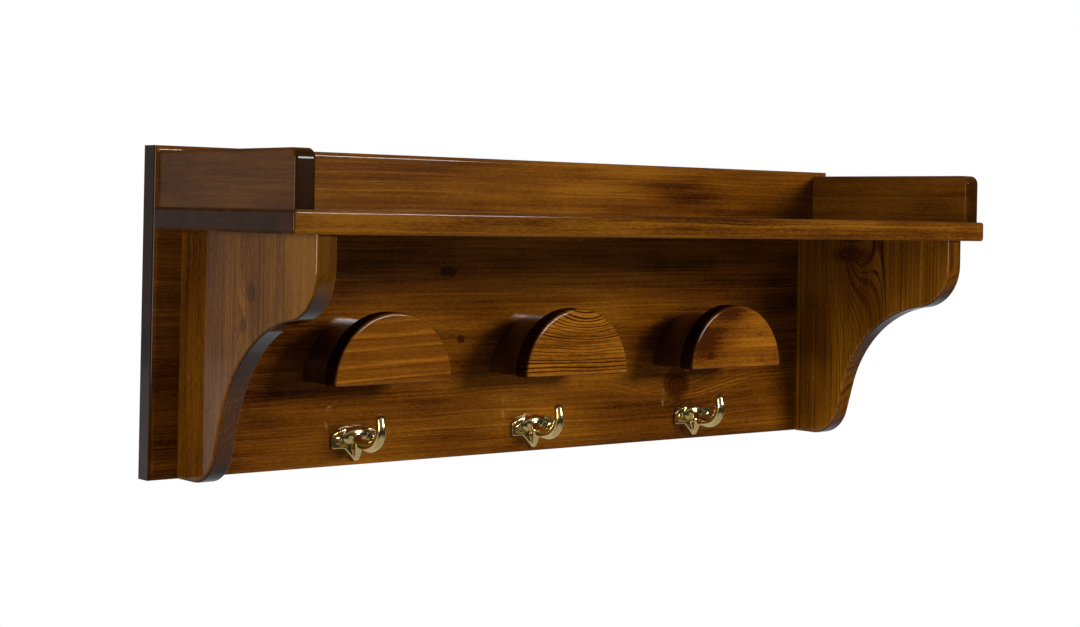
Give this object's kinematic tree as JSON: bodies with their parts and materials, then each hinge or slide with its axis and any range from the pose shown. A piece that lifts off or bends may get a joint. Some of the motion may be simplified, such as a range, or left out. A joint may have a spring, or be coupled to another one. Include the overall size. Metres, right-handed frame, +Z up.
{
  "type": "bridle rack with shelf",
  "caption": "Wall-hung wooden tack rack: a railed shelf on shaped brackets, half-round bridle holders and brass hooks on a back board.",
  "frame": {"origin": "centre of the back board's rear face, on the wall", "axes": "+X along the rack to the right as seen from the front, +Y into the wall, +Z up"},
  "size_m": [0.914, 0.258, 0.31],
  "materials": {
    "stained_wood": "pine stained dark brown under glossy lacquer",
    "dowel_wood": "bare hardwood",
    "brass": "polished casting",
    "steel": "zinc plated"
  },
  "bodies": {
    "root": {"back_board": "stained_wood", "shelf_board": "stained_wood", "left_rail": "stained_wood", "right_rail": "stained_wood", "left_bracket": "stained_wood", "right_bracket": "stained_wood", "left_drum": "stained_wood", "middle_drum": "stained_wood", "right_drum": "stained_wood", "left_disc": "stained_wood", "middle_disc": "stained_wood", "right_disc": "stained_wood", "shelf_plugs": "stained_wood", "left_hook": "brass", "middle_hook": "brass", "right_hook": "brass", "hook_screws": "brass", "shelf_screws": "steel", "bracket_screws": "steel", "rail_back_screws": "steel", "drum_screws": "steel", "bracket_top_screws": "steel", "rail_screws": "steel", "hanger_screws": "steel", "left_hanger": "steel", "right_hanger": "steel", "disc_dowels": "dowel_wood"}
  },
  "joints": []
}
